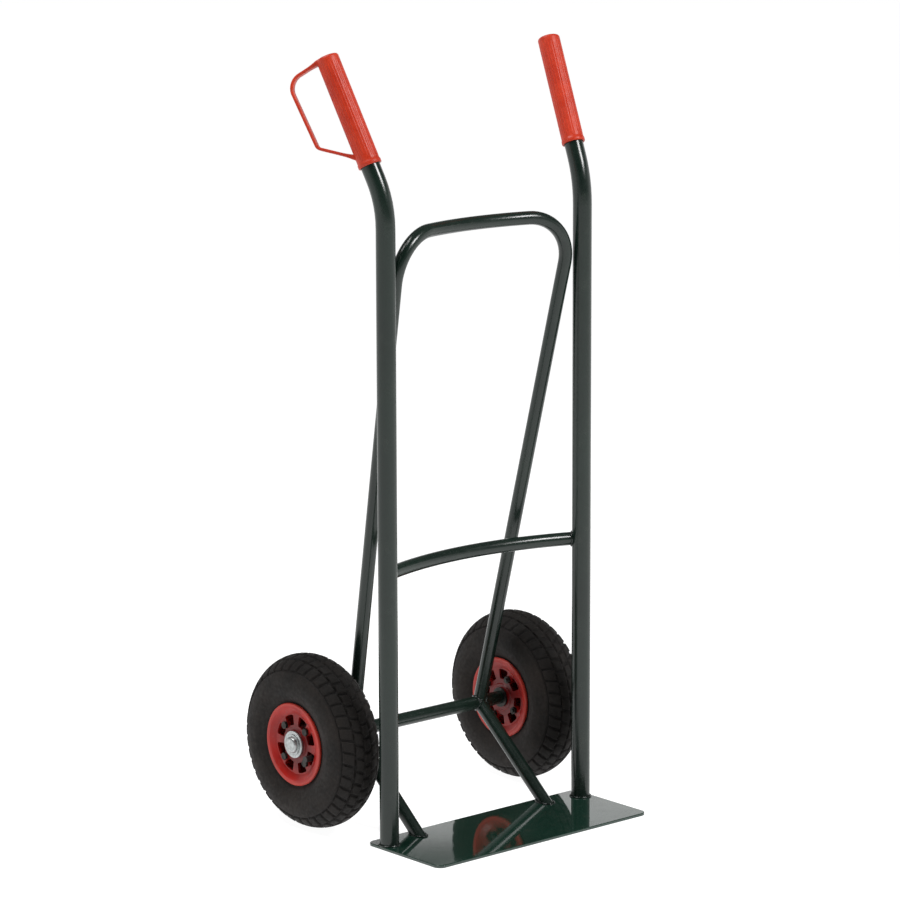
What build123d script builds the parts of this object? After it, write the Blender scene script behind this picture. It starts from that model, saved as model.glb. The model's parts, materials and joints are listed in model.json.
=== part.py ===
from build123d import *
import os
from math import radians, tan

# Hand truck. Millimetres, +Z up, -Y towards the load, +Y towards the wheels.
# The origin is on the floor, midway between the two uprights.
# side is -1 for the left hand (-X) and +1 for the right hand (+X).
SIDES = {"left": -1, "right": 1}

# Driving dimensions: frame
upright_half_spacing = 188.5
upright_r = 14.0
upright_wall = 2.0
stay_r = 10.0
stay_wall = 1.8
bend_corner_z = 938.0
bend_radius = 150.0
handle_lean_out = 0.113
handle_lean_back = 0.496
handle_length = 220.0

# Driving dimensions: toe plate
plate_width = 410.0
plate_front_y = -129.0
plate_rear_y = 32.0
plate_thickness = 4.0
plate_corner_r = 12.0

# Driving dimensions: axle and wheels
axle_y = 158.0
axle_z = 130.0
rod_r = 8.0
axle_tube_r = 10.0
axle_tube_half = 166.0
wheel_half_track = 202.0
wheel_r = 130.0
tyre_half_width = 41.8
fit_gap = 0.1

# Driving dimensions: rear stay, struts and cross bar
strut_half_spacing = 125.0
strut_foot = (125.5, 10.0)
stay_top = (166.9, -5.2, 889.0)
stay_corner_r = 66.0
stay_bow = 46.0
stay_bow_r = 360.0
cross_bar_z = 400.0
cross_bar_end_y = 10.0
cross_bar_bow = 39.5
cross_bar_end_trim = 6.0

# Driving dimensions: grips
grip_r = 16.4
grip_length = 167.0
grip_cap = 4.0
guard_thickness = 4.4
guard_width = 14.0
guard_reach = 65.0
guard_out = (0.6, 0.8)

# Driving dimensions: wheel details, along the wheel's axis from its centre plane
rim_seat_r = 50.8
rim_wall = 3.0
rim_flange_r = 61.4
rim_flange_u = 36.8
web_u = 27.0
web_thickness = 4.0
pocket_floor = 2.0
boss_r = 20.0
hub_r = 14.0
hub_half = 33.0
roller_r = 2.0
roller_count = 10
roller_length = 24.0
window_count = 8
window_inner_r = 28.0
window_outer_r = 43.5
window_half_angle = 13.5
wheel_turn = {-1: 111.0, 1: 5.0}
bolt_count = 4
bolt_circle_r = 33.5
bolt_r = 3.0

top_of_plate = Plane.XY.offset(plate_thickness)


def rod_between(start, end, radius):
    """Solid round bar from start to end."""
    line = Line(start, end)
    return sweep(Plane(origin=line @ 0, z_dir=line % 0) * Circle(radius), path=line)


def tube_along(path, radius, wall):
    """Hollow round tube along a smooth path."""
    section = Plane(origin=path @ 0, z_dir=path % 0) * (Circle(radius) - Circle(radius - wall))
    return sweep(section, path=path)


def bar_x(x0, x1, radius, y=axle_y, z=axle_z):
    """Round solid along X between two planes."""
    return Pos((x0 + x1) / 2, y, z) * Rot(0, 90, 0) * Cylinder(radius, abs(x1 - x0))


def ring_x(x0, x1, outer_r, inner_r):
    """Washer shape on the axle's line between two planes."""
    return bar_x(x0, x1, outer_r) - bar_x(min(x0, x1) - 1, max(x0, x1) + 1, inner_r)


# ---- Frame ----

def toe_plate():
    depth = plate_rear_y - plate_front_y
    middle = (plate_rear_y + plate_front_y) / 2
    plate = Pos(0, middle, plate_thickness / 2) * Box(plate_width, depth, plate_thickness)
    plate = fillet(plate.edges().filter_by(Axis.Z), plate_corner_r)
    return fillet(plate.faces().sort_by(Axis.Z)[-1].edges(), 1.0)


def handle_direction(side):
    return Vector(side * handle_lean_out, handle_lean_back, 1).normalized()


def handle_corner(side):
    return Vector(side * upright_half_spacing, 0, bend_corner_z)


def upright(side):
    foot = Vector(side * upright_half_spacing, 0, plate_thickness)
    corner = handle_corner(side)
    top = corner + handle_direction(side) * handle_length
    path = FilletPolyline(foot, corner, top, radius=bend_radius)
    return tube_along(path, upright_r, upright_wall)


def upright_core(side):
    """The straight part of an upright as a solid bar, for cutting other tubes to fit it."""
    x = side * upright_half_spacing
    return rod_between((x, 0, 0), (x, 0, bend_corner_z), upright_r)


def stay_leg(side):
    """Lowest and highest points of a rear stay leg's centre line."""
    foot = Vector(side * strut_half_spacing, axle_y, axle_z)
    top = Vector(side * stay_top[0], stay_top[1], stay_top[2])
    return foot, top


def rear_stay():
    left_foot, left_top = stay_leg(-1)
    right_foot, right_top = stay_leg(1)
    bow = Vector(0, stay_top[1] + stay_bow, stay_top[2])
    radii = [stay_corner_r, stay_bow_r, stay_corner_r]
    path = FilletPolyline(left_foot, left_top, bow, right_top, right_foot, radius=radii)
    return tube_along(path, stay_r, stay_wall) - bar_x(-200, 200, axle_tube_r)


def lower_strut(side):
    top = Vector(side * strut_half_spacing, axle_y, axle_z)
    foot = Vector(side * strut_foot[0], strut_foot[1], plate_thickness)
    past_foot = foot + (foot - top).normalized() * 4 * stay_r
    strut = tube_along(Line(top, past_foot), stay_r, stay_wall)
    strut = split(strut, top_of_plate, keep=Keep.TOP)
    leg_foot, leg_top = stay_leg(side)
    below_leg = leg_foot - (leg_top - leg_foot).normalized() * stay_r
    return strut - bar_x(-200, 200, axle_tube_r) - rod_between(below_leg, leg_top, stay_r)


def cross_bar():
    reach = upright_half_spacing
    ends = [Vector(side * reach, cross_bar_end_y, cross_bar_z) for side in (-1, 1)]
    middle = Vector(0, cross_bar_end_y + cross_bar_bow, cross_bar_z)
    bar = tube_along(ThreePointArc(ends[0], middle, ends[1]), stay_r, stay_wall)
    between = Pos(0, 0, cross_bar_z) * Box(2 * (reach - cross_bar_end_trim), 200, 100)
    return (bar & between) - upright_core(-1) - upright_core(1)


def axle_tube():
    return ring_x(-axle_tube_half, axle_tube_half, axle_tube_r, rod_r + fit_gap)


# ---- Axle set ----

washer = 2.5
washer_inner_r = rod_r + fit_gap
outer_washer_x = wheel_half_track + hub_half + 0.7
cap_x = outer_washer_x + washer
cap_depth = 6.5
rod_half = cap_x + 4.0


def axle_rod():
    return chamfer(bar_x(-rod_half, rod_half, rod_r).edges(), 1.0)


def inner_washer(side):
    return ring_x(side * axle_tube_half, side * (axle_tube_half + washer), 15.0, washer_inner_r)


def outer_washer(side):
    return ring_x(side * outer_washer_x, side * (outer_washer_x + washer), 20.0, washer_inner_r)


def axle_cap(side):
    """Pressed domed cap with a rim, closed over the end of the rod."""
    shell = Pos(0, 0, 0.8) * Cylinder(15, 1.6)
    shell = shell + Pos(0, 0, cap_depth / 2) * Cylinder(12, cap_depth)
    shell = fillet(shell.edges().sort_by(Axis.Z)[-1], 4)
    bore = Pos(0, 0, 2.2) * Cylinder(washer_inner_r, 4.4)
    return Pos(side * cap_x, axle_y, axle_z) * Rot(0, side * 90, 0) * (shell - bore)


# ---- Grips ----

def grip(side):
    """Sleeve with a closed domed top, and its knuckle guard. Built pointing up, guard towards +X."""
    sleeve = Pos(0, 0, -grip_length / 2) * Cylinder(grip_r, grip_length)
    sleeve = fillet(sleeve.edges().sort_by(Axis.Z)[-1], 4)
    collar = fillet((Pos(0, 0, -grip_length + 2.5) * Cylinder(grip_r + 0.8, 5)).edges(), 0.7)
    corners = [(10, -3), (guard_reach, -12), (guard_reach - 5, -115), (10, -152)]
    middle = make_face(FilletPolyline(*corners, radius=[0, 22, 8, 0], close=True))
    half = guard_thickness / 2
    band = offset(middle, half) - offset(middle, -half)
    guard = extrude(Plane.XZ * band, guard_width / 2, both=True)
    outer_edges = guard.edges().filter_by(lambda e: e.center().X > grip_r + 4)
    guard = fillet(outer_edges.filter_by(Plane.XZ), 1.6)
    bore = Pos(0, 0, -grip_length / 2 - grip_cap) * Cylinder(upright_r, grip_length)
    shape = sleeve + collar + guard - bore
    axis = handle_direction(side)
    out = Vector(side * guard_out[0], guard_out[1], 0)
    out = out - axis * out.dot(axis)
    top = handle_corner(side) + axis * (handle_length + grip_cap)
    return Plane(origin=top, x_dir=out, z_dir=axis).location * shape


# ---- Wheel, built about Z with its outer face towards +Z ----

def ring_of(shape, count, radius, first=0.0):
    """Copies of a shape on a circle about Z."""
    return [Rot(0, 0, first + 360 * k / count) * Pos(radius, 0, 0) * shape for k in range(count)]


def turned(outline):
    """Solid of revolution about Z from an outline of (radius, height) points."""
    return revolve(Plane.XZ * make_face(outline), Axis.Z)


section_r = tyre_half_width
section_centre_r = wheel_r - section_r
cord_r = section_r - 6.5
tube_r = cord_r - 0.4


def tyre():
    """Hollow casing, open to the rim between its two beads."""
    ring = Pos(section_centre_r, 0) * (Circle(section_r) - Circle(cord_r))
    ring = ring - Pos(section_centre_r - section_r, 0) * Rectangle(33.0, 200)
    beads = []
    for side in (-1, 1):
        corners = [(51.1, 32.6), (51.1, 26.5), (63, 24.8), (63, 32.6)]
        beads.append(make_face(Polyline(*[(r, side * u) for r, u in corners], close=True)))
    return revolve(Plane.XZ * (ring + beads[0] + beads[1]), Axis.Z)


def inner_tube():
    section = Pos(section_centre_r, 0) * (Circle(tube_r) - Circle(tube_r - 1.5))
    return revolve(Plane.XZ * section, Axis.Z)


def window():
    """Cutter for one opening between two spokes, wider towards the rim."""
    ring = Circle(window_outer_r) - Circle(window_inner_r)
    reach = 2 * window_outer_r
    sector = Polyline((0, 0), (reach, -reach * tan(radians(window_half_angle))),
                      (reach, reach * tan(radians(window_half_angle))), close=True)
    face = ring & make_face(sector)
    face = fillet(face.vertices(), 2.5)
    return Pos(0, 0, web_u - 1) * extrude(face, web_thickness + 2)


valve_angle = 360 / window_count * 3
valve_r = 3.9
valve_u = 16.0
valve_line_r = 36.5


def rim_half(outer):
    """Half rim: bead seat, flange, spoked web, hub boss and bolt tubes, from the centre plane out.

    The outer half also has the thin floor at the centre plane that closes the windows.
    """
    inside = rim_seat_r - rim_wall
    face_u = web_u + web_thickness
    seat = [(inside, 0.05), (rim_seat_r, 0.05), (rim_seat_r, 33.0), (rim_flange_r, 33.0)]
    flange = [(rim_flange_r, rim_flange_u - 1.2), (rim_flange_r - 1.2, rim_flange_u),
              (rim_seat_r + 3.5, rim_flange_u), (rim_seat_r + 1.5, rim_flange_u - 1)]
    dish = [(window_outer_r + 1.5, face_u), (boss_r + 1.5, face_u), (boss_r, face_u + 1.5), (hub_r, face_u + 1.5)]
    back = [(hub_r, 0.05), (boss_r, 0.05), (boss_r, web_u), (inside - 3, web_u), (inside, web_u + 1)]
    body = turned(Polyline(*seat, *flange, *dish, *back, close=True))
    for k in range(window_count):
        body = body - Rot(0, 0, 360 * k / window_count) * window()
    if outer:
        floor = Cylinder(inside + 1, pocket_floor) - Cylinder(boss_r - 1, pocket_floor)
        body = body + Pos(0, 0, 0.05 + pocket_floor / 2) * floor
    bolt_first = 180 / window_count
    tube = Pos(0, 0, web_u / 2 + 0.05) * Cylinder(6.5, web_u - 0.1)
    hole = Pos(0, 0, web_u / 2) * Cylinder(bolt_r + 0.2, web_u + 20)
    for place in ring_of(tube, bolt_count, bolt_circle_r, bolt_first):
        body = body + place
    for place in ring_of(hole, bolt_count, bolt_circle_r, bolt_first):
        body = body - place
    if outer:
        hole = Pos(50, 0, valve_u) * Rot(0, 90, 0) * Cylinder(valve_r + 0.3, 16)
        return body - Rot(0, 0, valve_angle) * hole
    return mirror(body, about=Plane.XY)


def hub_tube():
    tube = Cylinder(hub_r, 2 * hub_half) - Cylinder(rod_r + 2 * roller_r + 0.1, 2 * hub_half + 1)
    return chamfer(tube.edges().group_by(Axis.Z)[0] + tube.edges().group_by(Axis.Z)[-1], 0.5)


roller_circle_r = rod_r + roller_r + 0.05
roller_offset = 15.0


def rollers():
    one = Cylinder(roller_r, roller_length)
    both = []
    for side in (-1, 1):
        both += [Pos(0, 0, side * roller_offset) * r for r in ring_of(one, roller_count, roller_circle_r)]
    return Compound(children=both)


def roller_cages():
    """Two plastic cages, one near each end of the hub, with a pocket for each roller."""
    cage = Cylinder(11.6, roller_length + 4) - Cylinder(8.5, roller_length + 5)
    pocket = Cylinder(roller_r + 0.1, roller_length + 0.6)
    for place in ring_of(pocket, roller_count, roller_circle_r):
        cage = cage - place
    return Compound(children=[Pos(0, 0, side * roller_offset) * cage for side in (-1, 1)])


def hub_seals():
    seal = Cylinder(rod_r + 2 * roller_r, 2.4) - Cylinder(rod_r + fit_gap, 3)
    return Compound(children=[Pos(0, 0, side * (hub_half - 1.6)) * seal for side in (-1, 1)])


def rim_bolts():
    """Bolts through both rim halves, heads on the outer face."""
    length = 2 * (web_u + web_thickness) + 7
    shank = Pos(0, 0, web_u + web_thickness - length / 2) * Cylinder(bolt_r, length)
    head = Pos(0, 0, web_u + web_thickness) * extrude(RegularPolygon(5.0, 6, major_radius=False), 4)
    places = ring_of(shank + head, bolt_count, bolt_circle_r, 180 / window_count)
    return Compound(children=places)


def rim_nuts():
    nut = extrude(RegularPolygon(5.0, 6, major_radius=False) - Circle(bolt_r), 5)
    nut = Pos(0, 0, -web_u - web_thickness - 5) * nut
    return Compound(children=ring_of(nut, bolt_count, bolt_circle_r, 180 / window_count))


def valve_stem():
    """Bent stem from the inner tube, in through the bead seat and out between two spokes."""
    start = (section_centre_r - tube_r - 0.1, 0, valve_u)
    path = FilletPolyline(start, (valve_line_r, 0, valve_u), (valve_line_r, 0, 39), radius=7)
    stem = sweep(Plane(origin=path @ 0, z_dir=path % 0) * Circle(valve_r), path=path)
    return Rot(0, 0, valve_angle) * stem


def valve_cap():
    cap = Pos(valve_line_r, 0, 35.5) * (Cylinder(4.6, 11) - Pos(0, 0, -2) * Cylinder(valve_r, 11))
    return Rot(0, 0, valve_angle) * cap


def wheel(side):
    """All nodes of one wheel, placed on the axle. Both wheels are the same wheel, turned round."""
    pieces = {
        "tyre": tyre(),
        "inner_tube": inner_tube(),
        "rim_outer_half": rim_half(True),
        "rim_inner_half": rim_half(False),
        "hub_tube": hub_tube(),
        "roller_cages": roller_cages(),
        "rollers": rollers(),
        "hub_seals": hub_seals(),
        "rim_bolts": rim_bolts(),
        "rim_nuts": rim_nuts(),
        "valve_stem": valve_stem(),
        "valve_cap": valve_cap(),
    }
    place = Pos(side * wheel_half_track, axle_y, axle_z) * Rot(0, side * 90, 0) * Rot(0, 0, wheel_turn[side])
    return {name: place * shape for name, shape in pieces.items()}


nodes = {
    "toe_plate": toe_plate(),
    "rear_stay": rear_stay(),
    "cross_bar": cross_bar(),
    "axle_tube": axle_tube(),
    "axle_rod": axle_rod(),
}
for hand, side in SIDES.items():
    nodes[f"upright_{hand}"] = upright(side)
    nodes[f"lower_strut_{hand}"] = lower_strut(side)
    nodes[f"grip_{hand}"] = grip(side)
    nodes[f"inner_washer_{hand}"] = inner_washer(side)
    nodes[f"outer_washer_{hand}"] = outer_washer(side)
    nodes[f"axle_cap_{hand}"] = axle_cap(side)
    for name, shape in wheel(side).items():
        nodes[f"{name}_{hand}"] = shape

os.makedirs("parts", exist_ok=True)
for name, shape in nodes.items():
    export_step(shape, f"parts/{name}.step")
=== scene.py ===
import json
import math

import bpy
import numpy as np
from mathutils import Matrix, Vector


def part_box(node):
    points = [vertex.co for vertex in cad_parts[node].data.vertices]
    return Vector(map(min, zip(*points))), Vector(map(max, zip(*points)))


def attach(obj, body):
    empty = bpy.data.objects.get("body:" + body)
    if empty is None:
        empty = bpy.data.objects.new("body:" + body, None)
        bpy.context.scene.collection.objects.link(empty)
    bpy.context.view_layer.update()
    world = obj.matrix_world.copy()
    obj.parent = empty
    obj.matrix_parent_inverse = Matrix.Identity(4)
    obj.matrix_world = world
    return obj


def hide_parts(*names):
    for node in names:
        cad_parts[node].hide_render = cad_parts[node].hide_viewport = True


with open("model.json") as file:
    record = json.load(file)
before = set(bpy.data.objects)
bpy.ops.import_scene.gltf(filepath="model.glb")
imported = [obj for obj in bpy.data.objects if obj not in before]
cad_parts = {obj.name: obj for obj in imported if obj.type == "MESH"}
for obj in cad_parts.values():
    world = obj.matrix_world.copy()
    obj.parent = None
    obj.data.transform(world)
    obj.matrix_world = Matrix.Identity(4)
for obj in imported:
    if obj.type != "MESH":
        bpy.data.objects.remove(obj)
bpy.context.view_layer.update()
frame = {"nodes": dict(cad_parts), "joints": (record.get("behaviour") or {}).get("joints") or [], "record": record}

HANDS = {"left": -1.0, "right": 1.0}

# ---- Sizes of the truck, in metres, as its design gives them ----

UPRIGHT_X = 0.1885
TUBE_R = 0.014
THIN_TUBE_R = 0.010
PLATE_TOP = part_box("toe_plate")[1].z
BEND_Z = 0.938
HANDLE_LEAN = (0.113, 0.496, 1.0)
GRIP_TOP = 0.224
GRIP_R = 0.0164
GRIP_LENGTH = 0.167
FLUTES = 24
FLUTE_DEPTH = 0.00045
GUARD_CORNERS = ((0.010, 0.003), (0.065, 0.012), (0.060, 0.115), (0.010, 0.152))
GUARD_RADII = (0.022, 0.008)
GUARD_HALF_THICK = 0.0022
GUARD_HALF_WIDTH = 0.007
GUARD_OUT = (0.6, 0.8, 0.0)
AXLE = np.array(frame["joints"][0]["pos_m"]) * (0.0, 1.0, 1.0)
WHEEL_X = (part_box("tyre_right")[0].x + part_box("tyre_right")[1].x) / 2
TYRE_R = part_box("tyre_right")[1].z - float(AXLE[2])
TYRE_HALF_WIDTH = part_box("tyre_right")[1].x - WHEEL_X
TREAD_DEPTH = 0.0024
STRUT_FOOT = (0.1255, 0.010)
STRUT_X = 0.125
STAY_TOP = (0.1669, -0.0052, 0.889)
CROSS_BAR_END = (0.1825, 0.0135, 0.400)
CROSS_BAR_LEAN = (1.0, -0.37, 0.0)


# ---- Surfaces ----

def unit(vector):
    vector = np.asarray(vector, float)
    return vector / np.linalg.norm(vector)


def across(direction):
    """Two unit vectors square to a direction and to each other."""
    direction = unit(direction)
    helper = np.array((0.0, 0.0, 1.0)) if abs(direction[2]) < 0.8 else np.array((1.0, 0.0, 0.0))
    first = unit(np.cross(helper, direction))
    return first, np.cross(direction, first)


def grid_faces(rows, columns, close_rows, close_columns):
    """Quads between neighbours of a rows x columns grid, joined round where asked."""
    r = np.arange(rows if close_rows else rows - 1)
    c = np.arange(columns if close_columns else columns - 1)
    r, c = np.meshgrid(r, c, indexing="ij")
    r_next, c_next = (r + 1) % rows, (c + 1) % columns
    corners = (r * columns + c, r * columns + c_next, r_next * columns + c_next, r_next * columns + c)
    return np.stack(corners, axis=-1).reshape(-1, 4)


def surface(name, parts, material, smooth_angle=40.0):
    """One object from several parts, each its points, its quads and the loops of points that close it."""
    mesh = bpy.data.meshes.new(name)
    faces, start = [], 0
    for points, quads, ends in parts:
        faces += (quads + start).tolist() + [(end + start).tolist() for end in ends]
        start += len(points)
    mesh.from_pydata(np.concatenate([points for points, _, _ in parts]), [], faces)
    mesh.update()
    piece = bpy.data.objects.new(name, mesh)
    bpy.context.scene.collection.objects.link(piece)
    piece.data.materials.append(material)
    mesh.shade_smooth()
    mesh.set_sharp_from_angle(angle=math.radians(smooth_angle))
    return piece


def sweep(points, tangents, section, up=None, closed=False, scale=None):
    """A flat outline carried along a path: point + first * x + second * y for each outline point (x, y).

    first and second are square to the path's tangent. Open sweeps get flat ends.
    """
    tangents = tangents / np.linalg.norm(tangents, axis=1, keepdims=True)
    if up is None:
        up = across(tangents[0])[0]
    first = np.cross(np.broadcast_to(up, tangents.shape), tangents)
    first /= np.linalg.norm(first, axis=1, keepdims=True)
    second = np.cross(tangents, first)
    size = np.ones(len(points)) if scale is None else scale
    outline = np.asarray(section)
    spots = (points[:, None, :]
             + first[:, None, :] * (outline[None, :, 0] * size[:, None])[:, :, None]
             + second[:, None, :] * (outline[None, :, 1] * size[:, None])[:, :, None])
    rows, columns = len(points), len(outline)
    faces = grid_faces(rows, columns, closed, True)[:, ::-1]
    first_end, last_end = np.arange(columns), (rows - 1) * columns + np.arange(columns)[::-1]
    return spots.reshape(-1, 3), faces, () if closed else (first_end, last_end)


def circle(radius, count):
    """Points (radius cos a, radius sin a) at even angles."""
    a = np.linspace(0, 2 * math.pi, count, endpoint=False)
    return np.stack((radius * np.cos(a), radius * np.sin(a)), axis=1)


def rounded_bar(half_x, half_y, radius, steps=4):
    """Outline of a rectangle with round corners: a quarter circle at each corner in turn."""
    a = np.linspace(0, math.pi / 2, steps)
    corners = []
    for k, (sx, sy) in enumerate(((1, 1), (-1, 1), (-1, -1), (1, -1))):
        turn = a + k * math.pi / 2
        x = sx * (half_x - radius) + radius * np.cos(turn)
        y = sy * (half_y - radius) + radius * np.sin(turn)
        corners.append(np.stack((x, y), axis=1))
    return np.concatenate(corners)


def rounded_path(corners, radii, step=0.0015):
    """Straight runs joined by tangent arcs. Gives evenly spaced points and the direction at each."""
    corners = [np.asarray(c, float) for c in corners]
    runs, start = [], corners[0]
    for before, corner, after, radius in zip(corners, corners[1:], corners[2:], radii):
        into, out = unit(corner - before), unit(after - corner)
        turn = math.acos(np.clip(into @ out, -1, 1))
        cut = radius * math.tan(turn / 2)
        begin = corner - into * cut
        inward = unit(out - into)
        centre = begin + unit(inward - into * (inward @ into)) * radius
        a = np.linspace(0, turn, max(4, int(radius * turn / step)))[:, None]
        arc = centre + (begin - centre) * np.cos(a) + into * radius * np.sin(a)
        n = max(2, int(np.linalg.norm(begin - start) / step))
        runs.append(start + (begin - start) * np.linspace(0, 1, n, endpoint=False)[:, None])
        runs.append(arc[:-1])
        start = arc[-1]
    n = max(2, int(np.linalg.norm(corners[-1] - start) / step))
    runs.append(start + (corners[-1] - start) * np.linspace(0, 1, n)[:, None])
    points = np.concatenate(runs)
    return points, np.gradient(points, axis=0)


# ---- Material nodes ----

def blank(name):
    material = bpy.data.materials.new(name)
    material.use_nodes = True
    return material, material.node_tree, material.node_tree.nodes["Principled BSDF"]


def add(tree, kind, sockets=(), **settings):
    """A node with its settings, and its sockets set to values or linked to outputs."""
    node = tree.nodes.new(kind)
    for key, value in settings.items():
        setattr(node, key, value)
    for key, value in dict(sockets).items():
        if isinstance(value, bpy.types.NodeSocket):
            tree.links.new(value, node.inputs[key])
        else:
            node.inputs[key].default_value = value
    return node


def place(tree, stretch=(1, 1, 1), shift=(0, 0, 0), turn=(0, 0, 0)):
    """Object coordinates in metres, moved, turned and stretched."""
    where = add(tree, "ShaderNodeTexCoord").outputs["Object"]
    sockets = {"Vector": where, "Location": shift, "Rotation": turn, "Scale": stretch}
    return add(tree, "ShaderNodeMapping", sockets).outputs["Vector"]


def noise(tree, vector, scale, detail=4.0, roughness=0.55, distortion=0.0):
    sockets = {"Vector": vector, "Scale": scale, "Detail": detail, "Roughness": roughness,
               "Distortion": distortion}
    return add(tree, "ShaderNodeTexNoise", sockets).outputs["Fac"]


def stretch(tree, value, low, high, to_low=0.0, to_high=1.0):
    """Maps low..high onto to_low..to_high, held at both ends."""
    sockets = {"Value": value, "From Min": low, "From Max": high, "To Min": to_low, "To Max": to_high}
    return add(tree, "ShaderNodeMapRange", sockets).outputs["Result"]


def maths(tree, operation, first, second):
    return add(tree, "ShaderNodeMath", {0: first, 1: second}, operation=operation).outputs[0]


def blend(tree, amount, first, second):
    node = add(tree, "ShaderNodeMix", {0: amount, 6: first, 7: second}, data_type="RGBA")
    return node.outputs[2]


def bump(tree, height, distance, strength=1.0, under=None):
    sockets = {"Height": height, "Distance": distance, "Strength": strength}
    if under is not None:
        sockets["Normal"] = under
    return add(tree, "ShaderNodeBump", sockets).outputs["Normal"]


def srgb(r, g, b):
    """Linear colour from 0-255 display values."""
    c = np.array((r, g, b)) / 255
    c = np.where(c <= 0.04045, c / 12.92, ((c + 0.055) / 1.055) ** 2.4)
    return (*c.tolist(), 1.0)


def scratches(tree, vector, scale, turn, width):
    """Thin lines: a noise stretched a hundredfold one way, cut to a narrow band round its middle."""
    long_way = add(tree, "ShaderNodeMapping", {"Vector": vector, "Rotation": turn,
                                              "Scale": (scale, scale / 60, scale)}).outputs["Vector"]
    lines = noise(tree, long_way, 1.0, 2.0, 0.4, 0.3)
    away = maths(tree, "ABSOLUTE", maths(tree, "SUBTRACT", lines, 0.5), 0.0)
    return stretch(tree, away, 0.0, width, 1.0, 0.0)


def enamel(name, main, deep, dust, roughness, scuffs, coat):
    """Sprayed green enamel: slow colour drift, orange peel, a little dust and fine rubbed lines.

    scuffs is how strongly the rubbed lines show, and coat is the weight of the clear gloss on top.
    """
    material, tree, shader = blank(name)
    here = place(tree)
    drift = stretch(tree, noise(tree, here, 5.0, 3.0), 0.35, 0.65)
    colour = blend(tree, drift, deep, main)
    dusty = stretch(tree, noise(tree, here, 46.0, 8.0, 0.62), 0.56, 0.82, 0.0, 0.16)
    colour = blend(tree, dusty, colour, dust)
    rubbed_wear_and_painted_highlight = maths(tree, "MAXIMUM", scratches(tree, here, 520.0, (0.3, 0.2, 0.9), 0.010),
                   scratches(tree, here, 430.0, (0.7, 1.1, 0.2), 0.008))
    patches = stretch(tree, noise(tree, here, 16.0, 4.0), 0.56, 0.72, 0.0, scuffs)
    rubbed_wear_and_painted_highlight = maths(tree, "MULTIPLY", rubbed_wear_and_painted_highlight, patches)
    colour = blend(tree, rubbed_wear_and_painted_highlight, colour, dust)
    tree.links.new(colour, shader.inputs["Base Color"])
    uneven = stretch(tree, noise(tree, here, 60.0, 6.0), 0.3, 0.75, roughness, 1.3 * roughness + 0.01)
    rough = maths(tree, "ADD", uneven, maths(tree, "MULTIPLY", rubbed_wear_and_painted_highlight, 0.25))
    tree.links.new(rough, shader.inputs["Roughness"])
    peel = bump(tree, noise(tree, here, 420.0, 2.0, 0.4), 0.00006, 0.22)
    fine = bump(tree, noise(tree, here, 1600.0, 3.0), 0.00002, 0.25, peel)
    tree.links.new(bump(tree, rubbed_wear_and_painted_highlight, 0.00004, 0.5, fine), shader.inputs["Normal"])
    shader.inputs["IOR"].default_value = 1.5
    shader.inputs["Coat Weight"].default_value = coat
    shader.inputs["Coat Roughness"].default_value = 0.025
    return material


def grip_plastic():
    """Moulded orange-red vinyl: faint cloudiness, hand grime in the low spots, fine leathery texture."""
    material, tree, shader = blank("grip_orange_red")
    here = place(tree)
    cloud = stretch(tree, noise(tree, here, 30.0, 4.0), 0.3, 0.7)
    colour = blend(tree, cloud, srgb(172, 42, 18), srgb(190, 54, 26))
    grime = stretch(tree, noise(tree, here, 70.0, 8.0, 0.65), 0.55, 0.8, 0.0, 0.35)
    colour = blend(tree, grime, colour, srgb(120, 30, 18))
    tree.links.new(colour, shader.inputs["Base Color"])
    rough = stretch(tree, noise(tree, here, 120.0, 5.0), 0.3, 0.7, 0.34, 0.5)
    tree.links.new(rough, shader.inputs["Roughness"])
    cells = add(tree, "ShaderNodeTexVoronoi", {"Vector": here, "Scale": 1100.0}, feature="F1")
    leather = bump(tree, cells.outputs["Distance"], 0.00008, 0.35)
    waves = bump(tree, noise(tree, here, 260.0, 3.0), 0.00012, 0.3, leather)
    tree.links.new(waves, shader.inputs["Normal"])
    shader.inputs["Specular IOR Level"].default_value = 0.32
    shader.inputs["Subsurface Weight"].default_value = 0.06
    shader.inputs["Subsurface Radius"].default_value = (0.004, 0.001, 0.0006)
    shader.inputs["IOR"].default_value = 1.5
    return material


def length_of(tree, first, second):
    """Square root of first squared plus second squared."""
    squares = maths(tree, "MULTIPLY", first, first), maths(tree, "MULTIPLY", second, second)
    return maths(tree, "SQRT", maths(tree, "ADD", *squares), 0.0)


def from_axle(tree, here, centre_x=0.0, ring_r=0.0):
    """Distance from the axle line, or from the circle of radius ring_r round it at +-centre_x."""
    split = add(tree, "ShaderNodeSeparateXYZ", {"Vector": here})
    y = maths(tree, "SUBTRACT", split.outputs["Y"], float(AXLE[1]))
    z = maths(tree, "SUBTRACT", split.outputs["Z"], float(AXLE[2]))
    radius = length_of(tree, y, z)
    if not ring_r:
        return radius
    x = maths(tree, "SUBTRACT", maths(tree, "ABSOLUTE", split.outputs["X"], 0.0), centre_x)
    r = maths(tree, "SUBTRACT", radius, ring_r)
    return length_of(tree, x, r)


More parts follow.
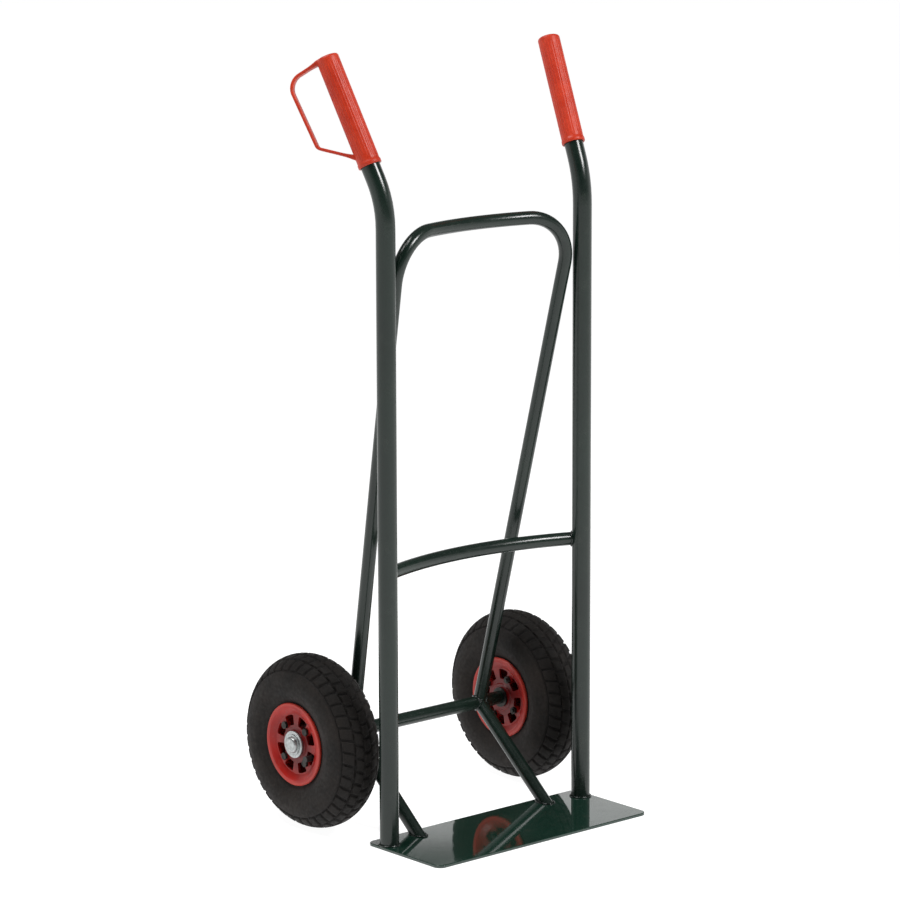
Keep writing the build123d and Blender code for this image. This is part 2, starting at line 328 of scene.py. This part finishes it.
def rim_paint():
    """Red rim finish: a painted highlight as a pale ring on the flange, clear red barrel, and painted shade
    darkening the dish round the hub.
    """
    material, tree, shader = blank("rim_red_gloss")
    here = place(tree)
    out = from_axle(tree, here)
    drift = stretch(tree, noise(tree, here, 24.0, 4.0), 0.35, 0.65)
    colour = blend(tree, drift, srgb(146, 14, 9), srgb(178, 26, 13))
    # painted shade: the dish is darkened near the axle, fading out by 52 mm from it
    painted_hub_shade = stretch(tree, out, 0.028, 0.052, 0.8, 0.0)
    colour = blend(tree, painted_hub_shade, colour, srgb(84, 5, 7))
    # painted highlight: a pale ring at the flange's radius, 56 to 59 mm from the axle
    rubbed_wear_and_painted_highlight = stretch(tree, out, 0.0560, 0.0590, 0.0, 0.55)
    colour = blend(tree, rubbed_wear_and_painted_highlight, colour, srgb(186, 66, 54))
    bloom = stretch(tree, noise(tree, here, 90.0, 8.0, 0.65), 0.58, 0.84, 0.0, 0.3)
    colour = blend(tree, bloom, colour, srgb(190, 92, 82))
    tree.links.new(colour, shader.inputs["Base Color"])
    rough = stretch(tree, noise(tree, here, 150.0, 5.0), 0.3, 0.7, 0.3, 0.46)
    tree.links.new(rough, shader.inputs["Roughness"])
    tree.links.new(bump(tree, noise(tree, here, 700.0, 3.0), 0.00004, 0.4), shader.inputs["Normal"])
    shader.inputs["Specular IOR Level"].default_value = 0.34
    return material


def tyre_rubber():
    """Black rubber gone brown with dust: dust lies in patches and fine grain runs over everything."""
    material, tree, shader = blank("tyre_rubber_worn")
    here = place(tree)
    cloud = stretch(tree, noise(tree, here, 22.0, 6.0, 0.6), 0.35, 0.7)
    colour = blend(tree, cloud, srgb(22, 20, 19), srgb(38, 33, 30))
    dust = stretch(tree, noise(tree, here, 160.0, 8.0, 0.7), 0.54, 0.82, 0.0, 0.4)
    colour = blend(tree, dust, colour, srgb(66, 55, 48))
    ring_r, section_r = TYRE_R - TYRE_HALF_WIDTH, TYRE_HALF_WIDTH
    off_core = from_axle(tree, here, WHEEL_X, ring_r)
    # painted shade: the deeper a point lies between the lugs, the darker it is, on the tread only
    painted_groove_shade = stretch(tree, off_core, section_r - TREAD_DEPTH, section_r - 0.0007, 0.6, 0.0)
    radius = from_axle(tree, here)
    painted_groove_shade = maths(tree, "MULTIPLY", painted_groove_shade, stretch(tree, radius, 0.098, 0.104, 0.0, 1.0))
    colour = blend(tree, painted_groove_shade, colour, srgb(11, 9, 8))
    # painted shade: the tread band is darkened more towards the outside, from 106 mm out from the axle
    painted_tread_shade = stretch(tree, radius, 0.106, 0.120, 0.0, 0.6)
    colour = blend(tree, painted_tread_shade, colour, srgb(17, 15, 13))
    tree.links.new(colour, shader.inputs["Base Color"])
    rough = stretch(tree, noise(tree, here, 200.0, 5.0), 0.3, 0.7, 0.58, 0.8)
    tree.links.new(rough, shader.inputs["Roughness"])
    grain = bump(tree, noise(tree, here, 1500.0, 5.0, 0.6), 0.00015, 0.5)
    tree.links.new(bump(tree, noise(tree, here, 260.0, 4.0), 0.0003, 0.4, grain), shader.inputs["Normal"])
    shader.inputs["Specular IOR Level"].default_value = 0.22
    return material


def zinc():
    """Dull zinc plate: bright and grey crystals, brushed lines and a few stains."""
    material, tree, shader = blank("zinc_plate")
    here = place(tree)
    cells = add(tree, "ShaderNodeTexVoronoi", {"Vector": here, "Scale": 420.0}, feature="F1")
    value = add(tree, "ShaderNodeSeparateColor", {"Color": cells.outputs["Color"]}).outputs[0]
    crystals = stretch(tree, value, 0.0, 1.0, 0.2, 0.8)
    colour = blend(tree, crystals, srgb(150, 154, 154), srgb(196, 200, 200))
    stain = stretch(tree, noise(tree, here, 120.0, 6.0, 0.6), 0.55, 0.8, 0.0, 0.6)
    colour = blend(tree, stain, colour, srgb(104, 102, 96))
    tree.links.new(colour, shader.inputs["Base Color"])
    shader.inputs["Metallic"].default_value = 0.85
    rough = stretch(tree, noise(tree, here, 300.0, 5.0), 0.3, 0.7, 0.28, 0.48)
    tree.links.new(rough, shader.inputs["Roughness"])
    tree.links.new(bump(tree, noise(tree, here, 1400.0, 4.0), 0.00003, 0.5), shader.inputs["Normal"])
    return material


def dark_part(name, low, high, metallic, rough_low, rough_high):
    """Dark plastic, rubber or oiled steel: two close tones, uneven gloss and a fine grain."""
    material, tree, shader = blank(name)
    here = place(tree)
    tone = stretch(tree, noise(tree, here, 130.0, 6.0, 0.6), 0.35, 0.7)
    tree.links.new(blend(tree, tone, low, high), shader.inputs["Base Color"])
    shader.inputs["Metallic"].default_value = metallic
    rough = stretch(tree, noise(tree, here, 300.0, 4.0), 0.3, 0.7, rough_low, rough_high)
    tree.links.new(rough, shader.inputs["Roughness"])
    tree.links.new(bump(tree, noise(tree, here, 1800.0, 4.0), 0.00004, 0.5), shader.inputs["Normal"])
    return material


tube_green = enamel("frame_green", srgb(20, 36, 29), srgb(15, 28, 23), srgb(80, 86, 78), 0.2, 0.35, 0.0)
plate_green = enamel("plate_green", srgb(28, 56, 46), srgb(20, 46, 37), srgb(112, 106, 98), 0.03, 0.5, 0.45)
weld_green = enamel("weld_green", srgb(22, 34, 29), srgb(15, 24, 20), srgb(76, 78, 70), 0.2, 0.1, 0.0)
orange_red = grip_plastic()
red = rim_paint()
rubber = tyre_rubber()
zinc_plate = zinc()
oiled_steel = dark_part("hub_dark_steel", srgb(38, 38, 38), srgb(66, 64, 60), 0.8, 0.35, 0.55)
roller_steel = dark_part("roller_bright_steel", srgb(150, 152, 154), srgb(190, 192, 194), 1.0, 0.15, 0.3)
black_plastic = dark_part("black_nylon", srgb(20, 20, 20), srgb(38, 37, 35), 0.0, 0.45, 0.65)
black_rubber = dark_part("tube_black_rubber", srgb(22, 22, 22), srgb(40, 38, 36), 0.0, 0.55, 0.75)

FINISHES = {
    "frame_enamel": tube_green,
    "plate_enamel": plate_green,
    "grip_plastic": orange_red,
    "rim_red": red,
    "tyre_rubber": rubber,
    "tube_rubber": black_rubber,
    "black_plastic": black_plastic,
    "zinc_steel": zinc_plate,
    "dark_steel": oiled_steel,
    "roller_steel": roller_steel,
}
for part in frame["record"]["subparts"]:
    node = frame["nodes"][part["node"]]
    node.data.materials.clear()
    node.data.materials.append(FINISHES[part["material_slot"]])


# ---- Grips ----

def handle_axis(side):
    """Direction of a handle and the middle of its grip's closed end."""
    lean = np.array(HANDLE_LEAN) * (side, 1.0, 1.0)
    direction = unit(lean)
    return direction, np.array((side * UPRIGHT_X, 0.0, BEND_Z)) + direction * GRIP_TOP


def grip_sleeve(side):
    """Fluted sleeve: radius = profile(along) - depth * |cos(flutes * angle / 2)| ** 6, closed at the top.

    profile is the sleeve's radius along its length, with a round shoulder, a lip at the mouth and
    an inner wall that goes back up against the tube.
    """
    direction, top = handle_axis(side)
    first, second = across(direction)
    shoulder = np.linspace(0, math.pi / 2, 8)
    r0 = 0.004
    head = np.stack((GRIP_R - r0 + r0 * np.sin(shoulder), r0 - r0 * np.cos(shoulder)), axis=1)
    length = GRIP_LENGTH
    body = [(GRIP_R, a) for a in np.linspace(0.008, length - 0.009, 28)]
    lip = [(GRIP_R, length - 0.0065), (GRIP_R + 0.0008, length - 0.0055),
           (GRIP_R + 0.0008, length - 0.0008), (GRIP_R + 0.0002, length),
           (TUBE_R + 0.0008, length), (TUBE_R + 0.0001, length - 0.0008),
           (TUBE_R + 0.0001, length - 0.01)]
    cap = [(0.0004, -0.0004), (0.005, -0.0003), (0.010, -0.0001)]
    profile = np.array([*cap, *head.tolist(), *body, *lip])
    angle = np.linspace(0, 2 * math.pi, 144, endpoint=False)
    along = profile[:, 1]
    fade = np.clip((along - 0.008) / 0.006, 0, 1) * np.clip((length - 0.009 - along) / 0.006, 0, 1)
    flute = FLUTE_DEPTH * fade[:, None] * np.abs(np.cos(FLUTES // 2 * angle))[None, :] ** 6
    radius = profile[:, :1] - flute
    spots = (top - direction * profile[:, 1, None, None]
             + first * (radius * np.cos(angle))[:, :, None]
             + second * (radius * np.sin(angle))[:, :, None])
    rows, columns = len(profile), len(angle)
    faces = grid_faces(rows, columns, False, True)
    top_end, inner_end = np.arange(columns)[::-1], (rows - 1) * columns + np.arange(columns)
    return spots.reshape(-1, 3), faces, (top_end, inner_end)


def knuckle_guard(side):
    """Flat bar with round edges, bent to a D and thickened where it joins the sleeve."""
    direction, top = handle_axis(side)
    out = np.array(GUARD_OUT) * (side, 1.0, 1.0)
    out = unit(out - direction * (out @ direction))
    corners = [top + out * r - direction * a for r, a in GUARD_CORNERS]
    points, tangents = rounded_path(corners, GUARD_RADII)
    section = rounded_bar(GUARD_HALF_THICK, GUARD_HALF_WIDTH, 0.0016)
    from_axis = (points - top) @ out
    root = np.clip((0.034 - from_axis) / 0.018, 0, 1)
    sideways = np.cross(direction, out)
    spots, faces, ends = sweep(points, tangents, section, up=sideways)
    spots = spots.reshape(len(points), -1, 3)
    middle = points[:, None, :]
    thick = np.cross(sideways, tangents / np.linalg.norm(tangents, axis=1, keepdims=True))
    offset = ((spots - middle) * thick[:, None, :]).sum(axis=2, keepdims=True)
    spots = spots + thick[:, None, :] * offset * (0.7 * root ** 2)[:, None, None]
    return spots.reshape(-1, 3), faces, ends


def grip(hand, side):
    piece = surface(f"soft_grip_{hand}", [grip_sleeve(side), knuckle_guard(side)], orange_red)
    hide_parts(f"grip_{hand}")
    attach(piece, "frame")


# ---- Tyres ----

LUGS = 40
TREAD_EDGE_ANGLE = 64
POINTS_PER_LUG = 18
TREAD_ROWS = ((0.0, 7.5, 0.0), (19.5, 8.5, 0.5), (43.5, 12.5, 0.0))


def soft_box(value, half, edge):
    """1 inside +-half, 0 outside, with a straight slope of width edge."""
    return np.clip((half - np.abs(value)) / edge + 0.5, 0, 1)


def tread_height(turn, across_angle):
    """How much of a lug stands at each point: rows of blocks, neighbours offset by half a pitch."""
    height = np.zeros(np.broadcast_shapes(turn.shape, across_angle.shape))
    for row, half, offset in TREAD_ROWS:
        for side in ((1,) if row == 0 else (-1, 1)):
            bend = 0.10 * (across_angle - side * row) / 10.0
            phase = (turn * LUGS / (2 * math.pi) + offset + bend * side + 0.5) % 1.0 - 0.5
            block = soft_box(across_angle - side * row, half, 1.8) * soft_box(phase, 0.385, 0.07)
            height = np.maximum(height, block)
    return height


def tyre(hand):
    """Section: circle of radius s about the casing's centre line, less the groove depth between the lugs.

    across_angle is measured from the crown; the sidewalls run down to the beads and the inside
    closes the casing.
    """
    low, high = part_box(f"tyre_{hand}")
    centre_x, outer_r, s = (low.x + high.x) / 2, (high.z - low.z) / 2, (high.x - low.x) / 2
    ring_r = outer_r - s
    tread = np.linspace(-TREAD_EDGE_ANGLE, TREAD_EDGE_ANGLE, 90)
    wall = np.linspace(TREAD_EDGE_ANGLE, 128, 16)[1:]
    angle = np.concatenate((-wall[::-1], tread, wall))
    turn = np.linspace(0, 2 * math.pi, LUGS * POINTS_PER_LUG, endpoint=False)
    lug = tread_height(turn[None, :], angle[:, None])
    depth = TREAD_DEPTH * np.clip((62 - np.abs(angle)) / 5, 0, 1)[:, None]
    shoulder = 0.0006 * np.clip((np.abs(angle) - 58) / 8, 0, 1)[:, None]
    lines = 0.0005 * sum(np.exp(-((np.abs(angle) - a) / 1.6) ** 2) for a in (98.0, 108.0, 118.0))[:, None]
    r = s - depth * (1 - lug) - shoulder + lines * (np.abs(angle)[:, None] > 92) - 0.0002
    a = np.radians(angle)[:, None]
    x = r * np.sin(a) * np.ones_like(turn)
    radial = ring_r + r * np.cos(a) * np.ones_like(turn)
    inner = np.array(((0.0322, 0.0575), (0.0318, 0.0516), (0.0268, 0.0516), (0.0250, 0.0630), (0.0340, 0.0800),
                      (0.0352, 0.0900), (0.0300, 0.1080), (0.0170, 0.1200)))
    inside = np.concatenate((inner, inner[::-1] * (-1, 1)))
    ones = np.ones_like(turn)
    x = np.concatenate((x, inside[:, :1] * ones))
    radial = np.concatenate((radial, inside[:, 1:] * ones))
    y, z = AXLE[1] + radial * np.cos(turn), AXLE[2] + radial * np.sin(turn)
    spots = np.stack((centre_x + x, y, z), axis=2)
    faces = grid_faces(len(x), len(turn), True, True)
    piece = surface(f"lugged_tyre_{hand}", [(spots.reshape(-1, 3), faces[:, ::-1], ())], rubber, 50.0)
    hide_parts(f"tyre_{hand}")
    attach(piece, f"wheel_{hand}")


# ---- Weld beads ----

WELD_LIFT = 0.0004

def meeting_curve(point, direction, radius, other_point, other_direction, other_radius, count=96):
    """Where a round tube first meets another, and whether the curve goes all the way round.

    For each angle round the tube, step along its direction from the other tube's centre line to its
    skin, the root of a quadratic. Angles at which the tube passes beside the other one are left out.
    """
    direction, other_direction = unit(direction), unit(other_direction)
    first, second = across(direction)
    a = np.linspace(0, 2 * math.pi, count, endpoint=False)[:, None]
    start = np.asarray(point) + radius * (first * np.cos(a) + second * np.sin(a))
    flat_d = direction - other_direction * (direction @ other_direction)
    gap = start - np.asarray(other_point)
    flat_g = gap - (gap @ other_direction)[:, None] * other_direction
    qa = flat_d @ flat_d
    qb = flat_g @ flat_d
    qc = (flat_g ** 2).sum(axis=1) - other_radius ** 2
    inside = qb ** 2 - qa * qc
    meets = inside > 0
    step = (-qb + np.sqrt(np.clip(inside, 0, None))) / qa
    curve = start + direction * step[:, None]
    if meets.all():
        return curve, True
    order = np.roll(np.arange(count), -int(np.argmin(meets)))
    return curve[order[meets[order]]], False


def bead(points, around, radius, closed=True, seed=0):
    """Round bead along a curve about the tube direction `around`, with ripples about 2.4 mm apart."""
    rng = np.random.default_rng(seed)
    tangents = np.roll(points, -1, axis=0) - np.roll(points, 1, axis=0)
    if not closed:
        tangents = np.gradient(points, axis=0)
    length = np.concatenate(((0,), np.cumsum(np.linalg.norm(np.diff(points, axis=0), axis=1))))
    waves = max(6, round(length[-1] / 0.0024))
    along = length / length[-1] * waves * 2 * math.pi * (1 if not closed else 1 - 1 / len(points))
    slow = 0.06 * np.sin(along / waves * 3 + rng.uniform(0, 6)) if closed else 0.0
    size = 1 + 0.14 * np.abs(np.sin(along / 2)) + slow
    if not closed:
        from_end = np.minimum(length, length[-1] - length)
        size = size * np.sqrt(np.clip(from_end / (2 * radius) + 0.08, 0, 1))
    return sweep(points, tangents, circle(radius, 10), up=unit(around), closed=closed, scale=size)


def frame_welds():
    """All beads of the frame as one piece.

    They run round the uprights and struts on the plate, the struts and stay on the axle tube, and
    the cross bar on the uprights.
    """
    beads, seed = [], 0
    thin_skin = THIN_TUBE_R + 0.0003
    turn = np.linspace(0, 2 * math.pi, 96, endpoint=False)[:, None]
    along_x, along_z = np.array((1.0, 0, 0)), np.array((0, 0, 1.0))
    for side in HANDS.values():
        foot = np.array((side * UPRIGHT_X, 0, PLATE_TOP + 0.0006))
        ring = foot + (TUBE_R + 0.0007) * np.concatenate((np.cos(turn), np.sin(turn), 0 * turn), axis=1)
        beads.append(bead(ring, along_z, 0.0017, seed=seed))
        joint = np.array((side * STRUT_X, AXLE[1], AXLE[2]))
        end = np.array((side * STRUT_FOOT[0], STRUT_FOOT[1], PLATE_TOP + 0.0006))
        down = unit(end - joint)
        first, second = across(down)
        ring = end + (THIN_TUBE_R + 0.0005) * (first * np.cos(turn) + second * np.sin(turn))
        ring = ring - down * ((ring[:, 2:] - end[2]) / down[2])
        beads.append(bead(ring, down, 0.0016, seed=seed + 1))
        top = np.array(STAY_TOP) * (side, 1, 1)
        for way, number in ((unit(end - joint), 2), (unit(top - joint), 3)):
            curve, closed = meeting_curve(joint, way, thin_skin, joint, along_x, THIN_TUBE_R + WELD_LIFT)
            beads.append(bead(curve, way, 0.0018, closed, seed + number))
        upright = np.array((side * UPRIGHT_X, 0, 0))
        inwards = -np.array(CROSS_BAR_LEAN) * (side, 1, 1)
        bar_end = np.array(CROSS_BAR_END) * (side, 1, 1)
        curve, closed = meeting_curve(bar_end, inwards, thin_skin, upright, along_z, TUBE_R + WELD_LIFT)
        beads.append(bead(curve, inwards, 0.0018, closed, seed + 4))
        seed += 10
    piece = surface("frame_weld_beads", beads, weld_green, 60.0)
    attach(piece, "frame")


for hand, side in HANDS.items():
    grip(hand, side)
    tyre(hand)
frame_welds()


# ---- Studio ----

def glow(name, place_at, look_at, size, power):
    light = bpy.data.lights.new(name, "AREA")
    light.shape, light.size, light.energy = "SQUARE", size, power
    lamp = bpy.data.objects.new(name, light)
    lamp.location = place_at
    lamp.rotation_euler = (Vector(look_at) - Vector(place_at)).to_track_quat("-Z", "Y").to_euler()
    bpy.context.scene.collection.objects.link(lamp)


def pale_floor():
    """Wide flat disc: a ring of 96 points and one face."""
    ring = circle(60.0, 96)
    spots = np.concatenate((ring, np.full((96, 1), -0.0005)), axis=1)
    material, tree, shader = blank("pale_floor")
    shader.inputs["Base Color"].default_value = (0.35, 0.35, 0.35, 1)
    shader.inputs["Emission Color"].default_value = (1, 1, 1, 1)
    shader.inputs["Emission Strength"].default_value = 0.95
    shader.inputs["Roughness"].default_value = 0.9
    shader.inputs["Specular IOR Level"].default_value = 0.0
    floor = surface("floor", [(spots, grid_faces(0, 0, False, False), (np.arange(96),))], material)


def studio_world():
    """White walls to 17 degrees up, a dim ceiling above them, and a dimmer wall in front of the truck."""
    world = bpy.data.worlds.new("studio")
    bpy.context.scene.world = world
    world.use_nodes = True
    tree = world.node_tree
    background = tree.nodes["Background"]
    where = add(tree, "ShaderNodeTexCoord").outputs["Generated"]
    split = add(tree, "ShaderNodeSeparateXYZ", {"Vector": where})
    front = maths(tree, "ADD", maths(tree, "MULTIPLY", split.outputs["X"], -0.4),
                  maths(tree, "MULTIPLY", split.outputs["Y"], -0.92))
    wall = stretch(tree, front, 0.1, 0.8, 1.0, 0.16)
    ceiling = stretch(tree, split.outputs["Z"], 0.2895, 0.2925, 1.0, 0.12)
    tree.links.new(maths(tree, "MULTIPLY", wall, ceiling), background.inputs["Strength"])
    background.inputs["Color"].default_value = (1, 1, 1, 1)


pale_floor()
studio_world()
glow("key", (0.9, -2.6, 3.0), (0, 0, 0.5), 1.0, 95)
glow("top", (-1.2, 0.6, 3.4), (0, 0, 0.5), 1.4, 60)


# ---- Camera ----

VIEW_AZIMUTH = math.radians(-41.08)
VIEW_ELEVATION = math.radians(11.32)
VIEW_DISTANCE = 5.7418
VIEW_ROLL = math.radians(-0.19)
VIEW_TARGET = Vector((-0.0699, 0.0, 0.5698))

back = Vector((math.sin(VIEW_AZIMUTH) * math.cos(VIEW_ELEVATION),
               -math.cos(VIEW_AZIMUTH) * math.cos(VIEW_ELEVATION),
               math.sin(VIEW_ELEVATION)))
lens = bpy.data.cameras.new("camera")
lens.sensor_width = 36.0
lens.lens = 159.8
lens.clip_end = 200.0
camera = bpy.data.objects.new("camera", lens)
camera.location = VIEW_TARGET + back * VIEW_DISTANCE
camera.rotation_mode = "QUATERNION"
level = (-back).to_track_quat("-Z", "Y").to_matrix()
camera.rotation_quaternion = (level @ Matrix.Rotation(VIEW_ROLL, 3, "Z")).to_quaternion()
bpy.context.scene.collection.objects.link(camera)
bpy.context.scene.camera = camera
bpy.context.scene.view_settings.view_transform = "Standard"
